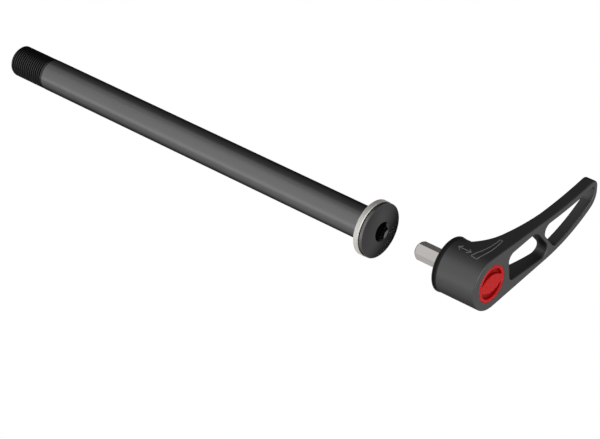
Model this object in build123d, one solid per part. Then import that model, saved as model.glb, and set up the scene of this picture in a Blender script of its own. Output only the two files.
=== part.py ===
from build123d import *
from math import acos, asin, cos, degrees, pi, radians, sin, tan
import os

# Thru axle with a plug-in lever that is lifted to set its angle, in millimetres.
# X runs along the axle: the thread is at the far -X end, the head and the lever are on the +X side.
# The origin is on the axis, in the plane of the face that clamps against the frame.
# The lever's arm points along +Y, and +Z is up.

# Axle
shaft_d = 12.0
axle_length = 172.6
thread_length = 17.0
thread_crest_d = 11.9
thread_chamfer = 0.65
bore_d = 6.5
bore_chamfer = 0.5

# Head and its captive washer
head_d = 20.1
head_rim = 1.2
head_dome = 0.95
head_edge = 0.2
land_d = 17.2
land_height = 0.33
washer_d = 20.4
washer_thickness = 2.1
washer_edge = 0.25
neck_d = 13.0
clip_wire = 0.8
clip_groove_depth = 0.45
clip_opening = 40.0

# Hexagon drive
hex_size = 6.0
hex_angle = 48.0
hex_play = 0.1
bit_reach = 12.9
bit_tip_d = 5.4
bit_chamfer = 0.9
socket_spare = 1.2
mouth_chamfer = 0.3
grip_section = 1.0
grip_depth = 1.75
grip_clearance = 0.12
grip_groove_play = 0.1

# Lever hub and the glide ring in its mouth
lever_gap = 28.9
plug_clearance = 0.15
hub_d = 19.6
hub_length = 17.4
glide_lip = 0.5
glide_lip_d = 19.95
glide_band = 1.4
glide_band_d = 18.8
glide_spigot = 0.7
glide_edge = 0.15
glide_clearance = 0.25
mouth_d = 16.4

# Toothed coupling, with the teeth's widths as shares of their pitch
tooth_count = 24
tooth_height = 0.6
tooth_crest = 0.3
tooth_foot = 0.8
tooth_play = 0.08
collar_d = 13.8
collar_depth = 2.3
lever_lift = 3.0
lift_spare = 0.5

# Neck, spring and screw inside the hub
spindle_neck_d = 7.4
web_thickness = 1.4
pocket_d = 12.6
seat_d = 11.4
seat_thickness = 0.5
spring_wire = 0.7
spring_wire_width = 1.0
spring_mean_d = 10.0
spring_turns = 4.0
plate_d = 11.4
plate_thickness = 0.5
screw_d = 4.0
screw_length = 7.0
screw_head_d = 8.4
screw_head_height = 1.4
screw_hex = 3.0
screw_hex_depth = 0.9
screw_edge = 0.2
screw_play = 0.1
tapping_spare = 0.5

# Cap in the lever's outer face
cap_d = 13.7
cap_thickness = 1.8
cap_rim = 1.25
cap_bar = 6.6
cap_bar_bow = 7.2
cap_corner = 0.35
cap_recess = 1.0
cap_edge = 0.2

# Lever arm, seen along the axle
lower_slope = 6.7
lower_straight_end = 30.6
lower_bow_radius = 65.2
lower_bow_turn = 23.2
tip_radius = 6.9
tip_corner = 3.0
upper_slope = 1.0
upper_straight_end = 30.0
upper_bow_radius = 176.0

# Lever arm, seen from above: thin as far as the root, then thicker towards the hub in two bends
arm_thickness = 4.3
root_end = 33.4
root_radius = 92.0
root_turn = 12.5
heel_radius = 20.4
outer_edge = 0.5
inner_edge = 0.5

# The arm's two slots and the strut between them
strut = 1.4
strut_lean = 50.4
strut_foot = 34.5
slot_floor = -4.5
slot_left_foot = 10.3
slot_left_top = 9.1
slot_top_left = 6.1
slot_top_right = 7.8
slot_corners = (2.2, 3.0, 5.0, 2.8)
slot_draft = 9.0
lower_rail = 2.5
upper_rail = 2.6
end_rail = 1.65
outer_slot_corners = (2.5, 4.0, 1.4, 2.8)

# Fits
running = 0.05
face_gap = 0.03

# Places along the axis, worked out from the sizes above
land_face = washer_thickness + face_gap
rim_back = land_face + land_height
rim_front = rim_back + head_rim
head_top = rim_front + head_dome
dome_radius = ((head_d / 2) ** 2 + head_dome**2) / (2 * head_dome)
hub_start = head_top + lever_gap
plug_travel = lever_gap - plug_clearance
bit_tip = hub_start - bit_reach
socket_end = bit_tip - plug_travel - socket_spare
clip_x = washer_thickness / 2
grip_x = head_top - grip_depth
arm_start = hub_start + glide_lip + glide_band
hub_end = hub_start + hub_length
thin_face = hub_end - arm_thickness
collar_start = hub_start + collar_depth
collar_end = collar_start + lever_lift - lift_spare
bush_start = arm_start + glide_spigot
shoulder = collar_end + running
web_end = shoulder + web_thickness
seat_end = web_end + seat_thickness
neck_end = seat_end + lever_lift + (spring_turns + 1) * spring_wire
plate_end = neck_end + plate_thickness
screw_tip = plate_end - screw_length
screw_top = plate_end + screw_head_height
cap_start = hub_end - cap_thickness

# Places across the axis
hex_corner = hex_size / 2 / cos(pi / 6)
grip_radius = hex_corner + grip_clearance + grip_section / 2
clip_radius = neck_d / 2 - clip_groove_depth + clip_wire / 2
hub_radius = hub_d / 2
tapping_d = screw_d + screw_play

# Corners and centres of the arm's outline as seen along the axle, with +Y to the right
low, high, lean = radians(lower_slope), radians(upper_slope), radians(strut_lean)
low_end = Vector(lower_straight_end, lower_straight_end * tan(low) - hub_radius / cos(low))
high_end = Vector(upper_straight_end, upper_straight_end * tan(high) + hub_radius / cos(high))
low_centre = low_end + Vector(-sin(low), cos(low)) * lower_bow_radius
high_centre = high_end + Vector(-sin(high), cos(high)) * upper_bow_radius
bow_end = low + radians(lower_bow_turn)
arm_reach = low_centre.X + lower_bow_radius * sin(bow_end) + tip_radius * (1 - sin(bow_end))


def turned(profile):
    """Solid turned about the X axis, from (x, radius) points in order along it."""
    ends = [(x, 0) for x, radius in (profile[-1], profile[0]) if radius > 0]
    return revolve(make_face(Polyline(*profile, *ends, close=True)), Axis.X)


def ring(profile):
    """Ring turned about the X axis, from a closed list of (x, radius) points."""
    return revolve(make_face(Polyline(*profile, close=True)), Axis.X)


def disc(start, end, diameter):
    """Round disc or bar on the X axis."""
    return extrude(Plane.YZ.offset(start) * Circle(diameter / 2), end - start)


def hexagon(start, end, across_flats, angle=hex_angle):
    """Hexagonal bar on the X axis, with one corner at the angle from +Y towards +Z."""
    outline = Rot(0, 0, angle) * RegularPolygon(across_flats / 2, 6, major_radius=False)
    return extrude(Plane.YZ.offset(start) * outline, end - start)


def toothed(start, end, tip_r, root_r):
    """Bar on the X axis with straight-flanked teeth around it."""
    foot, crest = tooth_foot / 2, tooth_crest / 2
    tooth_corners = ((root_r, -foot), (tip_r, -crest), (tip_r, crest), (root_r, foot))
    points = []
    for tooth in range(tooth_count):
        for radius, turn in tooth_corners:
            angle = 2 * pi * (tooth + turn) / tooth_count
            points.append((radius * cos(angle), radius * sin(angle)))
    return extrude(Plane.YZ.offset(start) * make_face(Polyline(*points, close=True)), end - start)


def wire_ring(place, radius, wire, opening=0):
    """Round wire bent to a ring about the X axis, with an opening given in degrees."""
    section = Plane.XY * Pos(place, radius) * Circle(wire / 2)
    return revolve(section, Axis.X, 360 - opening)


def rounded(face, places, radii):
    """Flat face with its corner nearest to each place rounded."""
    corners = [face.vertices().sort_by_distance(place)[0].center() for place in places]
    for corner, radius in zip(corners, radii):
        face = fillet(face.vertices().sort_by_distance(corner)[0], radius)
    return face


def make_axle_shaft():
    """Domed head, neck, hollow shaft and threaded end, forged and turned in one piece."""
    head_r, crest_r = head_d / 2, thread_crest_d / 2
    thread_end = thread_length - axle_length
    dome_centre = head_top - dome_radius
    rim_turn, core_turn = asin(head_r / dome_radius), asin(hex_size / 4 / dome_radius)
    dome_points = [
        (dome_centre + dome_radius * cos(turn), dome_radius * sin(turn))
        for turn in (rim_turn, (rim_turn + core_turn) / 2, core_turn)
    ]
    outside = Polyline(
        (-axle_length, 0),
        (-axle_length, crest_r - thread_chamfer),
        (thread_chamfer - axle_length, crest_r),
        (thread_end, crest_r),
        (thread_end, shaft_d / 2),
        (0, shaft_d / 2),
        (0, neck_d / 2),
        (land_face, neck_d / 2),
        (land_face, land_d / 2),
        (rim_back, land_d / 2),
        (rim_back, head_r - head_edge),
        (rim_back + head_edge, head_r),
        dome_points[0],
    )
    core = Polyline(dome_points[2], (dome_points[2][0], 0), (-axle_length, 0))
    body = revolve(make_face([outside, ThreePointArc(*dome_points), core]), Axis.X)
    mouth_r = hex_corner + mouth_chamfer
    beyond = head_top + mouth_r
    mouth = turned([(head_top - mouth_r, 0), (head_top, mouth_r), (beyond, mouth_r)])
    bore = turned([
        (-axle_length, bore_d / 2 + bore_chamfer),
        (bore_chamfer - axle_length, bore_d / 2),
        (socket_end, bore_d / 2),
        (socket_end + bore_d / 4, 0),
    ])
    grip_half = (grip_section + grip_groove_play) / 2
    grip_groove = disc(grip_x - grip_half, grip_x + grip_half, 2 * (grip_radius + grip_half))
    clip_half, clip_floor = clip_wire / 2, neck_d / 2 - clip_groove_depth
    clip_groove = ring([
        (clip_x - clip_half, clip_floor),
        (clip_x + clip_half, clip_floor),
        (clip_x + clip_half, neck_d),
        (clip_x - clip_half, neck_d),
    ])
    body = body - clip_groove - bore - grip_groove - mouth
    return body - hexagon(socket_end, beyond, hex_size + hex_play)


def make_washer():
    """Captive washer that turns on the neck, with a groove in its bore for the clip."""
    outer, inner = washer_d / 2, neck_d / 2 + running
    groove_r = clip_radius + clip_wire / 2 + running
    groove_half = clip_wire / 2 + running
    return ring([
        (0, inner),
        (0, outer - washer_edge),
        (washer_edge, outer),
        (washer_thickness - washer_edge, outer),
        (washer_thickness, outer - washer_edge),
        (washer_thickness, inner),
        (clip_x + groove_half, inner),
        (clip_x + groove_half, groove_r),
        (clip_x - groove_half, groove_r),
        (clip_x - groove_half, inner),
    ])


def make_washer_clip():
    """Open wire ring in the neck's groove, which keeps the washer on."""
    return wire_ring(clip_x, clip_radius, clip_wire, clip_opening)


def make_grip_ring():
    """Rubber ring in the socket's mouth, which holds the plugged-in bit by friction."""
    return wire_ring(grip_x, grip_radius, grip_section)


def make_drive_spindle():
    """Hexagon bit, toothed collar and tapped neck, in one piece of steel."""
    bit = hexagon(bit_tip, collar_start, hex_size - hex_play)
    point = turned([
        (bit_tip, bit_tip_d / 2),
        (bit_tip + bit_chamfer, hex_corner),
        (collar_start, hex_corner),
    ])
    collar = toothed(collar_start, collar_end, collar_d / 2, collar_d / 2 - tooth_height)
    neck = disc(collar_end, neck_end, spindle_neck_d)
    tapping = disc(screw_tip - tapping_spare, neck_end, tapping_d)
    return (bit & point) + collar + neck - tapping


def make_toothed_bush():
    """Steel bush pressed into the hub, with the teeth that mesh with the spindle's collar."""
    tip_r = collar_d / 2 + tooth_play
    teeth = toothed(bush_start, shoulder, tip_r, tip_r - tooth_height)
    return disc(bush_start, shoulder, mouth_d) - teeth


def make_glide_ring():
    """Plastic ring in the hub's mouth that slides on the head's face."""
    bore, spigot = collar_d / 2 + glide_clearance, mouth_d / 2
    lip, band = glide_lip_d / 2, glide_band_d / 2
    lip_end = hub_start + glide_lip
    return ring([
        (hub_start, bore),
        (hub_start, lip - glide_edge),
        (hub_start + glide_edge, lip),
        (lip_end, lip),
        (lip_end, band),
        (arm_start, band),
        (arm_start, spigot),
        (bush_start, spigot),
        (bush_start, bore),
    ])


def make_spring_seat():
    """Thin washer under the spring, carried by the lever as it is pulled out."""
    return disc(web_end, seat_end, seat_d) - disc(web_end, seat_end, spindle_neck_d + 2 * running)


def make_lift_spring():
    """Compression spring of flat wire between the lever and the screwed plate."""
    height = neck_end - seat_end - spring_wire
    coil = Helix(height / spring_turns, height, spring_mean_d / 2, direction=(1, 0, 0))
    start = Plane(coil @ 0, x_dir=coil @ 0, z_dir=coil % 0)
    wire = sweep(start * Rectangle(spring_wire_width, spring_wire), path=coil, is_frenet=True)
    return Pos(seat_end + spring_wire / 2) * wire


def make_spring_plate():
    """Washer clamped by the screw, which holds the spring's outer end."""
    return disc(neck_end, plate_end, plate_d) - disc(neck_end, plate_end, tapping_d)


def make_spindle_screw():
    """Socket screw along the spindle's axis that keeps lever and spring together."""
    head = disc(plate_end, screw_top, screw_head_d)
    head = chamfer(head.edges().group_by(Axis.X)[-1], screw_edge)
    shank = disc(screw_tip, plate_end, screw_d)
    return head + shank - hexagon(screw_top - screw_hex_depth, screw_top, screw_hex)


def make_lever_cap():
    """Red cap pressed into the outer face, with a grip bar between two crescent recesses."""
    body = disc(cap_start, hub_end, cap_d)
    body = fillet(body.edges().group_by(Axis.X)[-1], cap_edge)
    floor = Plane.YZ.offset(hub_end - cap_recess)
    bow_shift = Pos(0, cap_bar_bow - cap_bar / 2)
    bar = (bow_shift * Circle(cap_bar_bow)) & (bow_shift.inverse() * Circle(cap_bar_bow))
    crescents = Circle(cap_d / 2 - cap_rim) - bar
    body -= extrude(floor * fillet(crescents.vertices(), cap_corner), cap_recess)
    return fillet(body.edges().group_by(Axis.X)[-1], cap_edge / 2)


def arm_outline():
    """Lever seen along the axle: hub circle, straight edges that bow upwards, and rounded tip."""
    low_start = Vector(hub_radius * sin(low), -hub_radius * cos(low))
    high_start = Vector(-hub_radius * sin(high), hub_radius * cos(high))
    low_line = Line(low_start, low_end)
    high_line = Line(high_start, high_end)
    low_bow = JernArc(low_end, low_line % 1, lower_bow_radius, lower_bow_turn)
    tip = JernArc(low_bow @ 1, low_bow % 1, tip_radius, 90 - lower_slope - lower_bow_turn)
    high_turn = degrees(asin((arm_reach - high_centre.X) / upper_bow_radius)) - upper_slope
    high_bow = JernArc(high_end, high_line % 1, upper_bow_radius, high_turn)
    closing = [Line(tip @ 1, high_bow @ 1), Line(high_start, low_start)]
    face = make_face([low_line, low_bow, tip, high_bow, high_line, *closing])
    face = rounded(face, [high_bow @ 1], [tip_corner])
    return face + Circle(hub_radius)


def arm_plan():
    """Lever seen from above: thin arm, long bend at the root, and short bend down to the hub's mouth."""
    arm_end = Vector(thin_face, arm_reach + hub_d)
    thin = Line(arm_end, (thin_face, root_end))
    root = JernArc(thin @ 1, thin % 1, root_radius, -root_turn)
    turn = radians(root_turn)
    heel_centre_x = (root @ 1).X - heel_radius * cos(turn)
    heel_turn = degrees(acos((arm_start - heel_centre_x) / heel_radius)) - root_turn
    heel = JernArc(root @ 1, root % 1, heel_radius, -heel_turn)
    back_corner = Vector(arm_start, -hub_d)
    outer_corners = [(hub_end, -hub_d), (hub_end, arm_end.Y)]
    closing = Polyline(heel @ 1, back_corner, *outer_corners, arm_end)
    return make_face([thin, root, heel, closing])


def inner_slot():
    """Slot beside the hub, a rounded trapezoid that ends at the strut."""
    top_right = strut_foot - (slot_top_right - slot_floor) / tan(lean)
    corners = [
        (slot_left_foot, slot_floor),
        (strut_foot, slot_floor),
        (top_right, slot_top_right),
        (slot_left_top, slot_top_left),
    ]
    return rounded(make_face(Polyline(*corners, close=True)), corners, slot_corners)


def outer_slot():
    """Slot beyond the strut, which follows the arm's bowed edges at the width of the rails."""
    foot = strut_foot + strut / sin(lean)
    end = arm_reach - end_rail
    floor, roof = slot_floor - hub_d, slot_floor + hub_d
    frame = Polyline(
        (foot + hub_d / tan(lean), floor),
        (end, floor),
        (end, roof),
        (foot - hub_d / tan(lean), roof),
        close=True,
    )
    face = make_face(frame) & Pos(low_centre) * Circle(lower_bow_radius - lower_rail)
    face -= Pos(high_centre) * Circle(upper_bow_radius + upper_rail)
    near = [(foot, slot_floor), (end, slot_floor), (end, roof), (slot_left_top, slot_top_left)]
    return rounded(face, near, outer_slot_corners)


def make_lever_arm():
    """Forged lever: hub with its stepped bore, bent root, drafted slot, open slot and rounded edges."""
    arm = extrude(Plane.YZ.offset(arm_start) * arm_outline(), hub_end - arm_start)
    arm &= extrude(arm_plan(), hub_d, both=True)
    face, depth = Plane.YZ.offset(hub_end), hub_end - arm_start
    arm -= extrude(face * outer_slot(), -depth) + extrude(face * inner_slot(), -depth, taper=slot_draft)
    face_edges = arm.edges().filter_by_position(Axis.X, hub_end, hub_end)
    arm = fillet(face_edges, outer_edge)
    back_edges = arm.edges().filter_by_position(Axis.X, arm_start, thin_face, (False, True))
    arm = fillet(back_edges - back_edges.filter_by(Axis.X) - back_edges.filter_by(Axis.Z), inner_edge)
    arm += disc(arm_start, hub_end - 2 * outer_edge, hub_d)
    arm -= disc(arm_start, shoulder, mouth_d)
    arm -= disc(shoulder, web_end, spindle_neck_d + 2 * running)
    arm -= disc(web_end, cap_start, pocket_d)
    return arm - disc(cap_start, hub_end, cap_d)


parts = {
    "axle_shaft": make_axle_shaft,
    "washer": make_washer,
    "washer_clip": make_washer_clip,
    "grip_ring": make_grip_ring,
    "drive_spindle": make_drive_spindle,
    "glide_ring": make_glide_ring,
    "toothed_bush": make_toothed_bush,
    "spring_seat": make_spring_seat,
    "lift_spring": make_lift_spring,
    "spring_plate": make_spring_plate,
    "spindle_screw": make_spindle_screw,
    "lever_cap": make_lever_cap,
    "lever_arm": make_lever_arm,
}

os.makedirs("parts", exist_ok=True)
for name, make in parts.items():
    solid = make()
    print(name, len(solid.solids()), round(solid.volume, 2), solid.is_valid)
    export_step(solid, f"parts/{name}.step")
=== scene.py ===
# %% [markdown]
# # A bicycle thru axle and its plug-in lever
# The real object is a hollow black axle with a threaded tip and a domed head, a pale washer held
# behind that head, and a slotted lever whose hexagon bit plugs into the head. The solids already
# have their true sizes and places, so this file gives them their finishes, cuts the thread on the
# tip, marks the lever, and lights it all on a pale ground.
# The first step is to load the solids. Blender then measures in metres, in the solids' own frame:
# X runs along the axle from the thread to the lever, Y along the lever's arm, and Z is up.

# %% Load the solids
import math

import bpy
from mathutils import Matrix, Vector


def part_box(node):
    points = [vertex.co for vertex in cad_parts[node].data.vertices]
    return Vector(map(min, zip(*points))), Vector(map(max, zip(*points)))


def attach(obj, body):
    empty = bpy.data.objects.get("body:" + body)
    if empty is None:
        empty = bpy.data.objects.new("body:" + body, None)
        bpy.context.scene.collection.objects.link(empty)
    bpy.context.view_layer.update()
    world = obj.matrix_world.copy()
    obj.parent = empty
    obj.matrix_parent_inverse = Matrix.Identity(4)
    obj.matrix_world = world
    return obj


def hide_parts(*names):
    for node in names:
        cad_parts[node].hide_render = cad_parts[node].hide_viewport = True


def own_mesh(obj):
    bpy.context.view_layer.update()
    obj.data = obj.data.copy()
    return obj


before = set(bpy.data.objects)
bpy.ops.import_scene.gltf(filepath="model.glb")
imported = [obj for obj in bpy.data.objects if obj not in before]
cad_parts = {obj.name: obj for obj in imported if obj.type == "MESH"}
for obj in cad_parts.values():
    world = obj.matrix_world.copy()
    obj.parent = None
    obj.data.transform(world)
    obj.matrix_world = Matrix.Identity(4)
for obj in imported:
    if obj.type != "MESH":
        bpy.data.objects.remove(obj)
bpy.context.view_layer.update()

MM = 0.001

# %% [markdown]
# Blender's operators act on whatever is selected, and loading leaves every solid selected. A habit
# that saves many surprises is to clear the selection first, and to select one thing on purpose.

# %% Select on purpose
def select_none():
    """Leaves edit mode and clears the selection."""
    if bpy.context.object and bpy.context.object.mode != "OBJECT":
        bpy.ops.object.mode_set(mode="OBJECT")
    bpy.ops.object.select_all(action="DESELECT")


def select_only(piece):
    """Makes one object the only selected one, and the active one."""
    select_none()
    piece.select_set(True)
    bpy.context.view_layer.objects.active = piece


select_none()
print("nothing is selected:", not bpy.context.selected_objects)

# %% [markdown]
# The camera comes before the looks, because every later choice is judged through it. A long lens
# from well back keeps the axle's sides nearly parallel, as in a catalogue picture. The camera looks
# down at about a third of a right angle, from the lever's side, with no roll.

# %% Place the camera
CAMERA_PLACE = Vector((413.87, -510.98, 440.78)) * MM
CAMERA_AZIMUTH = 41.13
CAMERA_ELEVATION = 33.67
LENS_MM = 140.0
SENSOR_MM = 36.0

bpy.ops.object.camera_add(location=CAMERA_PLACE)
camera = bpy.context.object
camera.name = "catalogue_camera"
camera.rotation_euler = (math.radians(90 - CAMERA_ELEVATION), 0, math.radians(CAMERA_AZIMUTH))
camera.data.lens = LENS_MM
camera.data.sensor_width = SENSOR_MM
bpy.context.scene.camera = camera
print("camera distance to the head: %.0f mm" % (camera.location.length / MM))

# %% [markdown]
# Every finish below is a small tree of shader nodes. These helpers keep the trees short: one adds a
# node and fills or wires its inputs, one starts a material with its main shader, and the others are
# the steps that come back: noise, a blend, a limit along the axle and bump. All patterns read Object
# coordinates, which are metres on the object itself, so a pattern keeps its real scale and stays
# put when the lever moves.

# %% Helpers for shader trees
def add_node(tree, kind, inputs, **options):
    """Adds one shader node, sets its options, and fills or wires the inputs that are named."""
    made = tree.nodes.new("ShaderNode" + kind)
    for option, value in options.items():
        setattr(made, option, value)
    for socket, value in inputs.items():
        if isinstance(value, bpy.types.NodeSocket):
            tree.links.new(value, made.inputs[socket])
        else:
            made.inputs[socket].default_value = value
    return made


def start_material(name, inputs):
    """A new material: its tree, its main shader with some inputs filled in, and its coordinates."""
    material = bpy.data.materials.new(name)
    material.use_nodes = True
    tree = material.node_tree
    shader = tree.nodes["Principled BSDF"]
    for socket, value in inputs.items():
        shader.inputs[socket].default_value = value
    place = add_node(tree, "TexCoord", {}).outputs["Object"]
    return material, tree, shader, place


def noise(tree, place, size_mm, detail=2.0, stretch=(1, 1, 1)):
    """Noise with grains of the given size, drawn out along an axis by a scale below one."""
    mapped = add_node(tree, "Mapping", {"Vector": place, "Scale": stretch}).outputs["Vector"]
    grains = {"Vector": mapped, "Scale": 1 / (size_mm * MM), "Detail": detail}
    return add_node(tree, "TexNoise", grains).outputs["Fac"]


def blend_colours(tree, factor, dark, light):
    """A colour between two, by a factor from 0 to 1."""
    ends = {0: factor, 6: (*dark, 1), 7: (*light, 1)}
    return add_node(tree, "Mix", ends, data_type="RGBA").outputs[2]


def between(tree, factor, low, high):
    """A number between two, by a factor from 0 to 1."""
    mapped = add_node(tree, "MapRange", {"Value": factor, "To Min": low, "To Max": high})
    return mapped.outputs["Result"]


def shade(colour, share):
    """The same colour at a share of its brightness."""
    return [level * share for level in colour]


def along_axle(tree, place):
    """The place along the X axis, as one number."""
    return add_node(tree, "SeparateXYZ", {"Vector": place}).outputs["X"]


def compare(tree, value, how, limit_mm):
    """One where a length is past a limit, and nought elsewhere."""
    return add_node(tree, "Math", {0: value, 1: limit_mm * MM}, operation=how).outputs["Value"]


def scale_input(tree, shader, socket, share):
    """Puts a factor between an input of the shader and what feeds it."""
    source = shader.inputs[socket].links[0].from_socket
    scaled = add_node(tree, "VectorMath", {0: source, "Scale": share}, operation="SCALE")
    tree.links.new(scaled.outputs["Vector"], shader.inputs[socket])


def raise_surface(tree, shader, height, depth_mm, strength):
    """Bumps the surface by a height pattern of the given depth."""
    inputs = {"Height": height, "Distance": depth_mm * MM, "Strength": strength}
    made = add_node(tree, "Bump", inputs)
    tree.links.new(made.outputs["Normal"], shader.inputs["Normal"])


print("shader helpers are ready")

# %% [markdown]
# Black anodised aluminium is a dark dye in a clear oxide skin, over metal that still shines through
# it. So it is set up as a very dark metal with a soft sheen, and its tint is lowered so that it gets
# hardly any bright rim at grazing angles. Both black pieces share one recipe, the lever with the
# coarser grain that blasting leaves.

# %% Black anodised aluminium
CLOUD_MM = 7.0
CLOUD_SPREAD = 0.07
SHEEN_SPREAD = 0.03
GRAIN_DEPTH_MM = 0.01


def anodised_black(name, colour, roughness, edge_light, grain_mm, grain_strength):
    """Dyed aluminium whose sheen and colour vary a little, over a fine grain."""
    inputs = {"Metallic": 1.0, "Specular Tint": (edge_light, edge_light, edge_light, 1)}
    material, tree, shader, place = start_material(name, inputs)
    clouds = noise(tree, place, CLOUD_MM, detail=3.0)
    dark, light = shade(colour, 1 - CLOUD_SPREAD), shade(colour, 1 + CLOUD_SPREAD)
    sheen = between(tree, clouds, roughness - SHEEN_SPREAD, roughness + SHEEN_SPREAD)
    tree.links.new(blend_colours(tree, clouds, dark, light), shader.inputs["Base Color"])
    tree.links.new(sheen, shader.inputs["Roughness"])
    grain = noise(tree, place, grain_mm, detail=1.0)
    raise_surface(tree, shader, grain, GRAIN_DEPTH_MM, grain_strength)
    return material


shaft_black = anodised_black("anodised_shaft", (0.127, 0.126, 0.126), roughness=0.34,
                             edge_light=0.15, grain_mm=0.25, grain_strength=0.06)
lever_black = anodised_black("blasted_lever", (0.089, 0.089, 0.090), roughness=0.46,
                             edge_light=0.3, grain_mm=0.30, grain_strength=0.12)
print("made:", shaft_black.name, "and", lever_black.name)

# %% [markdown]
# The axle gets painted shade in two places. The end face of its head was turned smooth, so it sends
# most of its light one way, past the camera. The thread is cut deep, and little light gets out of its
# grooves again. The large lights here would leave both too pale, so the shader finds them by their
# position on the piece and takes their colour down, which paints that shade into the colour. A mask
# made from the position follows the shape exactly, and it needs no image.

# %% Painted shade on the axle
THREAD_LENGTH = 17.0
# Shares of the colour kept as painted shade on the thread, its grooves and the head's end face.
THREAD_SHADE_SHARE = 0.35
GROOVE_BELOW_R = 5.88
GROOVE_SHADE_SHARE = 0.3
END_FACE_X = 3.68
FACE_SHADE_SHARE = 0.43
FACE_SHINE = 0.75


def paint_axle_shade(material, thread_end_x):
    """Paints shade onto the head's end face and polishes it, and paints shade onto the thread, its
    grooves most.
    """
    tree = material.node_tree
    shader = tree.nodes["Principled BSDF"]
    place = add_node(tree, "TexCoord", {}).outputs["Object"]
    aside = add_node(tree, "VectorMath", {0: place, 1: (0, 1, 1)}, operation="MULTIPLY")
    radius = add_node(tree, "VectorMath", {0: aside.outputs["Vector"]}, operation="LENGTH")
    face = compare(tree, along_axle(tree, place), "GREATER_THAN", END_FACE_X)
    on_thread = compare(tree, along_axle(tree, place), "LESS_THAN", thread_end_x)
    deep = compare(tree, radius.outputs["Value"], "LESS_THAN", GROOVE_BELOW_R)
    groove = add_node(tree, "Math", {0: on_thread, 1: deep}, operation="MULTIPLY").outputs["Value"]
    # Each mask scales the colour down: painted shade on the end face, on the thread, and most in its
    # grooves.
    for where, share in ((face, FACE_SHADE_SHARE), (on_thread, THREAD_SHADE_SHARE), (groove, GROOVE_SHADE_SHARE)):
        scale_input(tree, shader, "Base Color", between(tree, where, 1.0, share))
    scale_input(tree, shader, "Roughness", between(tree, face, 1.0, FACE_SHINE))


thread_end_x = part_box("axle_shaft")[0][0] / MM + THREAD_LENGTH
paint_axle_shade(shaft_black, thread_end_x)
print("the thread ends at x = %.1f mm" % thread_end_x)

# %% [markdown]
# The bare metals differ by how they were made. The washer was turned on a lathe, so fine rings run
# round its rim, one behind another along X. The bit was drawn as a bar, so its brush marks run along
# it. Both are metallic, and fine grooves are too small to model, so a faint bump stands for them.

# %% Bare metals
RING_SHADE = 0.93
RING_DEPTH_MM = 0.001
BRUSH_SHADE = 0.8
BRUSH_MM = 0.22
BRUSH_STRETCH = (0.03, 1, 1)
BRUSH_SHEEN = 0.06
BRUSH_DEPTH_MM = 0.01


def turned_metal(name, colour, roughness, pitch_mm, ring_strength):
    """Pale aluminium with the fine rings that a lathe leaves, one behind another along X."""
    material, tree, shader, place = start_material(name, {"Metallic": 1.0, "Roughness": roughness})
    per_turn = 2 * math.pi / (pitch_mm * MM)
    turns = add_node(tree, "Math", {0: along_axle(tree, place), 1: per_turn}, operation="MULTIPLY")
    wave = add_node(tree, "Math", {0: turns.outputs["Value"]}, operation="SINE").outputs["Value"]
    rings = add_node(tree, "MapRange", {"Value": wave, "From Min": -1.0}).outputs["Result"]
    colours = blend_colours(tree, rings, shade(colour, RING_SHADE), colour)
    tree.links.new(colours, shader.inputs["Base Color"])
    raise_surface(tree, shader, rings, RING_DEPTH_MM, ring_strength)
    return material


def drawn_steel(name, colour, roughness, brush_strength):
    """Steel bar with brush marks along X."""
    material, tree, shader, place = start_material(name, {"Metallic": 1.0})
    brushed = noise(tree, place, BRUSH_MM, detail=3.0, stretch=BRUSH_STRETCH)
    colours = blend_colours(tree, brushed, shade(colour, BRUSH_SHADE), colour)
    sheen = between(tree, brushed, roughness - BRUSH_SHEEN, roughness + BRUSH_SHEEN)
    tree.links.new(colours, shader.inputs["Base Color"])
    tree.links.new(sheen, shader.inputs["Roughness"])
    raise_surface(tree, shader, brushed, BRUSH_DEPTH_MM, brush_strength)
    return material


washer_metal = turned_metal("turned_washer", (0.66, 0.645, 0.61), roughness=0.58,
                            pitch_mm=0.5, ring_strength=0.10)
bit_steel = drawn_steel("drawn_bit", (0.43, 0.41, 0.40), roughness=0.27, brush_strength=0.10)
inner_steel = drawn_steel("inner_steel", (0.42, 0.42, 0.43), roughness=0.40, brush_strength=0.20)
print("made:", washer_metal.name, bit_steel.name, inner_steel.name)

# %% [markdown]
# The cap is red with a satin skin, and the floor of its two pockets gets painted shade, a deeper red,
# because less light gets in there. The glide ring is a matt black plastic with a fine moulded
# texture, and the ring inside the socket is soft rubber, which is the dullest.

# %% Cap, glide ring and rubber
FLOW_MM = 2.5
FLOW_SHADE = 0.92
POCKET_DEPTH = 0.3
# Share of the red kept as painted shade on the pocket floors.
POCKET_SHADE_SHARE = 0.55
SKIN_SHADE = 1.3
SKIN_SHEEN = 0.05
SKIN_DEPTH_MM = 0.02


def satin_red(name, colour, face_x):
    """Red cap with a smooth skin, faint flow marks, and painted shade below its face."""
    inputs = {"Specular IOR Level": 0.04, "Specular Tint": (1.0, 0.2, 0.15, 1), "Roughness": 0.45}
    material, tree, shader, place = start_material(name, inputs)
    colours = blend_colours(tree, noise(tree, place, FLOW_MM), shade(colour, FLOW_SHADE), colour)
    tree.links.new(colours, shader.inputs["Base Color"])
    # Painted shade: the pocket floors below the cap's face take a deeper red.
    pocket = compare(tree, along_axle(tree, place), "LESS_THAN", face_x - POCKET_DEPTH)
    scale_input(tree, shader, "Base Color", between(tree, pocket, 1.0, POCKET_SHADE_SHARE))
    return material


def matt_skin(name, colour, roughness, grain_mm, grain_strength):
    """Dull plastic, rubber or paint with a fine skin."""
    material, tree, shader, place = start_material(name, {"Specular IOR Level": 0.2})
    grain = noise(tree, place, grain_mm)
    colours = blend_colours(tree, grain, colour, shade(colour, SKIN_SHADE))
    sheen = between(tree, grain, roughness - SKIN_SHEEN, roughness + SKIN_SHEEN)
    tree.links.new(colours, shader.inputs["Base Color"])
    tree.links.new(sheen, shader.inputs["Roughness"])
    raise_surface(tree, shader, grain, SKIN_DEPTH_MM, grain_strength)
    return material


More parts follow.
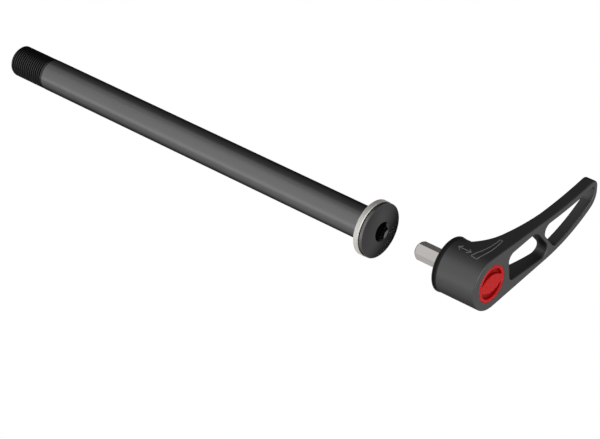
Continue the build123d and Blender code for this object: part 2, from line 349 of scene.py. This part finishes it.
cap_red = satin_red("satin_cap", (0.57, 0.012, 0.013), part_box("lever_cap")[1][0] / MM)
glide_plastic = matt_skin("glide_plastic", (0.012, 0.012, 0.013), roughness=0.55,
                          grain_mm=0.2, grain_strength=0.15)
grip_rubber = matt_skin("grip_rubber", (0.014, 0.014, 0.014), roughness=0.70,
                        grain_mm=0.3, grain_strength=0.20)
print("made:", cap_red.name, glide_plastic.name, grip_rubber.name)

# %% [markdown]
# The solids arrive as loose triangles. Their own meshes stay as they are, so each one that shows is
# copied, its triangles are welded, and it is shaded smooth across its curves with its flat faces
# kept flat. The loaded triangles carry stored normals, which would tilt the light on the welded
# faces, so those are cleared first. The copy stands in for the solid and rides on the same body.
# What hides inside the lever keeps its solid and only takes a finish.

# %% Weld and smooth the pieces that show
WELD_MM = 0.0005
SMOOTH_DEGREES = 28


def welded_copy(node, name):
    """A new object with a copy of a solid's mesh, its loose triangles welded."""
    select_none()
    piece = bpy.data.objects.new(name, bpy.data.objects[node].data.copy())
    bpy.context.scene.collection.objects.link(piece)
    select_only(piece)
    bpy.ops.object.mode_set(mode="EDIT")
    bpy.ops.mesh.select_all(action="SELECT")
    bpy.ops.mesh.remove_doubles(threshold=WELD_MM * MM)
    bpy.ops.mesh.normals_make_consistent(inside=False)
    bpy.ops.object.mode_set(mode="OBJECT")
    return piece


def smooth_curves(piece):
    """Shades curves smooth, keeps sharp edges, and keeps large flat faces flat."""
    select_only(piece)
    if piece.data.has_custom_normals:
        bpy.ops.mesh.customdata_custom_splitnormals_clear()
    bpy.ops.object.shade_smooth_by_angle(angle=math.radians(SMOOTH_DEGREES))
    weighted = piece.modifiers.new("weighted", "WEIGHTED_NORMAL")
    weighted.keep_sharp = True
    bpy.ops.object.modifier_apply(modifier=weighted.name)


def dress(piece, material):
    """Gives a piece its only material."""
    piece.data.materials.clear()
    piece.data.materials.append(material)


def stand_in(node, body, material):
    """A welded, smooth copy of a solid that takes its place on its body."""
    piece = welded_copy(node, node + "_finished")
    smooth_curves(piece)
    dress(piece, material)
    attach(piece, body)
    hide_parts(node)
    return piece


shown = {
    "washer": ("washer", "washer", washer_metal),
    "grip_ring": ("axle", "rubber", grip_rubber),
    "drive_spindle": ("spindle", "spindle_steel", bit_steel),
    "glide_ring": ("lever", "glide_plastic", glide_plastic),
    "lever_cap": ("lever", "red_cap", cap_red),
    "lever_arm": ("lever", "lever", lever_black),
}
hidden = ("washer_clip", "toothed_bush", "spring_seat", "spring_plate", "spindle_screw")

for node, (body, slot, material) in shown.items():
    piece = stand_in(node, body, material)
    print(piece.name, "has", len(piece.data.polygons), "faces")
for node in hidden:
    dress(bpy.data.objects[node], inner_steel)

# %% [markdown]
# Lifting the lever out of its teeth squeezes the spring inside the hub. Its outer end stays under its
# plate, and its inner end is pushed along by the lever, so the spring isn't a rigid piece: it gets
# shorter along X as the lift goes on. Here its copy keeps the solid's shape, on a mesh of its own.

spring = stand_in("lift_spring", "spindle", inner_steel)
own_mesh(spring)

# %% [markdown]
# The solid of the axle has a plain cylinder where its thread is, as wide as the thread's crests. The
# thread is cut here as on a lathe: a V-shaped section is carried round the axis, one pitch along it
# for every turn, and what it sweeps is taken away from the axle. The section starts outside the
# crests, with a narrow flat at the root, and it begins beyond the tip so that the first turn runs in
# through the chamfer.

# %% Cut the thread
RUN_IN = 0.7
THREAD_PITCH = 1.0
THREAD_CREST_R = 5.95
THREAD_DEPTH = 0.58
CREST_FLAT = 0.12
ROOT_FLAT = 0.14
CUT_CLEARANCE = 0.02
STEPS_A_TURN = 64


def thread_cutter(tip):
    """The closed spiral bar that a thread cut takes away, from before the tip to the thread's end."""
    select_none()
    turns = math.floor((THREAD_LENGTH + RUN_IN) / THREAD_PITCH)
    start = tip - RUN_IN * MM
    outer, root = THREAD_CREST_R + CUT_CLEARANCE, THREAD_CREST_R - THREAD_DEPTH
    bpy.ops.mesh.primitive_plane_add(size=MM, location=(0, 0, 0), rotation=(math.pi / 2, 0, 0))
    cutter = bpy.context.object
    cutter.name = "thread_cutter"
    bpy.ops.object.transform_apply(rotation=True)
    for corner in cutter.data.vertices:
        at_root = corner.co.z < 0
        width = ROOT_FLAT if at_root else THREAD_PITCH - CREST_FLAT
        side = math.copysign(width / 2, corner.co.x)
        corner.co = Vector((start + side * MM, 0, (root if at_root else outer) * MM))
    bpy.ops.object.mode_set(mode="EDIT")
    bpy.ops.mesh.select_all(action="SELECT")
    bpy.ops.mesh.delete(type="ONLY_FACE")
    bpy.ops.object.mode_set(mode="OBJECT")
    winding = cutter.modifiers.new("winding", "SCREW")
    winding.axis = "X"
    winding.screw_offset = THREAD_PITCH * MM
    winding.iterations = turns
    winding.steps = winding.render_steps = STEPS_A_TURN
    bpy.ops.object.modifier_apply(modifier=winding.name)
    bpy.ops.object.mode_set(mode="EDIT")
    bpy.ops.mesh.select_all(action="SELECT")
    bpy.ops.mesh.fill_holes(sides=4)
    bpy.ops.mesh.select_all(action="SELECT")
    bpy.ops.mesh.normals_make_consistent(inside=False)
    bpy.ops.object.mode_set(mode="OBJECT")
    return cutter


def threaded_axle():
    """The axle's solid with its thread cut."""
    axle = welded_copy("axle_shaft", "axle_with_thread")
    cutter = thread_cutter(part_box("axle_shaft")[0][0])
    select_only(axle)
    cut = axle.modifiers.new("cut", "BOOLEAN")
    cut.operation = "DIFFERENCE"
    cut.solver = "EXACT"
    cut.object = cutter
    bpy.ops.object.modifier_apply(modifier=cut.name)
    select_only(cutter)
    bpy.ops.object.delete()
    smooth_curves(axle)
    dress(axle, shaft_black)
    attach(axle, "axle")
    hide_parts("axle_shaft")
    return axle


axle = threaded_axle()
print("faces of the threaded axle:", len(axle.data.polygons))

# %% [markdown]
# Thin grey lines on top of the hub tell how to use the lever: an arrow along the axle, for pulling
# it out of its teeth, and beside it the outline of a slim bar that bends round. The design is this
# file's own. It is drawn flat above the hub as edges, cut into short lengths, laid down onto the
# metal, and given the thickness of a fine engraved line.

# %% Mark the hub
MARK_LINE = 0.26
MARK_LIFT = 0.04
MARK_ABOVE = 2.0
MARK_CUTS = 5
BAR_STEPS = 12
ARROW = ((37.8, -1.4), (43.0, -1.4))
ARROW_BARB = (1.3, 1.0)
BAR_START = (45.2, -2.8)
BAR_END = (46.6, 10.2)
BAR_BOW = -0.8
BAR_WIDTHS = (2.6, 1.0)


def arrow_strokes():
    """A straight arrow with barbs at both ends, as lists of (x, y) points."""
    (x0, y0), (x1, y1) = ARROW
    along, aside = ARROW_BARB
    head = [(x1 - along, y1 - aside), (x1, y1), (x1 - along, y1 + aside)]
    tail = [(x0 + along, y0 - aside), (x0, y0), (x0 + along, y0 + aside)]
    return [[(x0, y0), (x1, y1)], head, tail]


def bar_stroke():
    """The closed outline of a slim bowed bar, wide at its start and narrow at its end."""
    start, end = Vector(BAR_START), Vector(BAR_END)
    across = (end - start).normalized().orthogonal()
    sides = [[], []]
    for step in range(BAR_STEPS + 1):
        share = step / BAR_STEPS
        middle = start.lerp(end, share) + across * BAR_BOW * math.sin(math.pi * share)
        half = (BAR_WIDTHS[0] * (1 - share) + BAR_WIDTHS[1] * share) / 2
        sides[0].append(tuple(middle + across * half))
        sides[1].append(tuple(middle - across * half))
    return sides[0] + sides[1][::-1] + sides[0][:1]


def mark_lines(strokes, ground, height):
    """Strokes laid onto the ground from above, as fine raised lines in one mesh."""
    select_none()
    points, edges = [], []
    for stroke in strokes:
        first = len(points)
        points += [(x * MM, y * MM, height) for x, y in stroke]
        edges += [(first + step, first + step + 1) for step in range(len(stroke) - 1)]
    drawing = bpy.data.meshes.new("hub_mark")
    drawing.from_pydata(points, edges, [])
    mark = bpy.data.objects.new("hub_mark", drawing)
    bpy.context.scene.collection.objects.link(mark)
    select_only(mark)
    bpy.ops.object.mode_set(mode="EDIT")
    bpy.ops.mesh.select_all(action="SELECT")
    bpy.ops.mesh.subdivide(number_cuts=MARK_CUTS)
    bpy.ops.object.mode_set(mode="OBJECT")
    laid = mark.modifiers.new("laid", "SHRINKWRAP")
    laid.target = ground
    laid.wrap_method = "PROJECT"
    laid.use_project_x = laid.use_project_y = False
    laid.use_project_z = laid.use_negative_direction = True
    laid.offset = MARK_LIFT * MM
    bpy.ops.object.modifier_apply(modifier=laid.name)
    bpy.ops.object.convert(target="CURVE")
    mark.data.bevel_depth = MARK_LINE / 2 * MM
    mark.data.bevel_resolution = 1
    mark.data.use_fill_caps = True
    bpy.ops.object.convert(target="MESH")
    return mark


arm = bpy.data.objects["lever_arm_finished"]
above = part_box("lever_arm")[1][2] + MARK_ABOVE * MM
mark = mark_lines([*arrow_strokes(), bar_stroke()], arm, above)
mark_grey = matt_skin("mark_grey", (0.15, 0.15, 0.155), roughness=0.5,
                      grain_mm=0.2, grain_strength=0.05)
dress(mark, mark_grey)
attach(mark, "lever")
print("faces of the mark:", len(mark.data.polygons))

# %% [markdown]
# A catalogue picture shows such a part on plain white. Here that white is the floor's own colour, as
# the camera and reflections see it, so no extra light has to fall on the object to make it. To all
# other light the floor is plain matt. It lies well below, so its shadow is out of the picture. The
# sky is white to the camera and dim to everything else, because a black piece looks black only when
# it has something dark to reflect. Four soft lights shape the object: a large one in front that draws
# the pale band along the axle, a small strip above, one behind and below, and one facing the cap.

# %% Ground and light
FLOOR_DROP = 1.5
FLOOR_SIZE = 40.0
FLOOR_GREY = 0.8
SKY_LEVEL = 0.2


def pale_floor(name):
    """Matt floor that shows as plain white to the camera and in reflections."""
    material = bpy.data.materials.new(name)
    material.use_nodes = True
    tree = material.node_tree
    tree.nodes.clear()
    paths = add_node(tree, "LightPath", {})
    seen = paths.outputs["Is Camera Ray"]
    for other in ("Is Glossy Ray", "Is Transmission Ray"):
        either = add_node(tree, "Math", {0: seen, 1: paths.outputs[other]}, operation="MAXIMUM")
        seen = either.outputs["Value"]
    matt = add_node(tree, "BsdfDiffuse", {"Color": (FLOOR_GREY, FLOOR_GREY, FLOOR_GREY, 1)})
    glow = add_node(tree, "Emission", {"Color": (1, 1, 1, 1), "Strength": 1.0})
    mix = add_node(tree, "MixShader", {0: seen, 1: matt.outputs["BSDF"], 2: glow.outputs["Emission"]})
    add_node(tree, "OutputMaterial", {"Surface": mix.outputs["Shader"]})
    return material


bpy.ops.mesh.primitive_plane_add(size=FLOOR_SIZE, location=(0, 0, -FLOOR_DROP))
floor = bpy.context.object
floor.name = "floor"
dress(floor, pale_floor("pale_floor"))

world = bpy.data.worlds.new("studio")
bpy.context.scene.world = world
world.use_nodes = True
sky = world.node_tree.nodes["Background"]
sky.inputs["Color"].default_value = (1, 1, 1, 1)
by_camera = add_node(world.node_tree, "LightPath", {}).outputs["Is Camera Ray"]
level = add_node(world.node_tree, "Math", {0: by_camera, 1: SKY_LEVEL}, operation="MAXIMUM")
world.node_tree.links.new(level.outputs["Value"], sky.inputs["Strength"])


def soft_light(name, place, size, watts):
    """A soft light of a width and a height, at a place, facing the head."""
    place = Vector(place)
    bpy.ops.object.light_add(type="AREA", location=place)
    light = bpy.context.object
    light.name = name
    light.data.shape = "RECTANGLE"
    light.data.size, light.data.size_y = size
    light.data.energy = watts
    light.rotation_euler = place.to_track_quat("Z", "Y").to_euler()
    return light


lights = [
    soft_light("front", (-0.656, -1.004, 0.45), (1.2, 1.9), watts=8.2),
    soft_light("strip", (-0.30, -0.035, 0.333), (0.22, 0.36), watts=0.15),
    soft_light("low", (0.50, 0.82, -0.72), (0.7, 0.7), watts=1.5),
    soft_light("side", (0.85, -0.33, 0.38), (1.1, 1.1), watts=9),
]
print("lights:", ", ".join(light.name for light in lights))

# %% [markdown]
# Last comes the view. Standard shows each colour as it was set, with no film-like curve.

# %% Close
bpy.context.scene.view_settings.view_transform = "Standard"
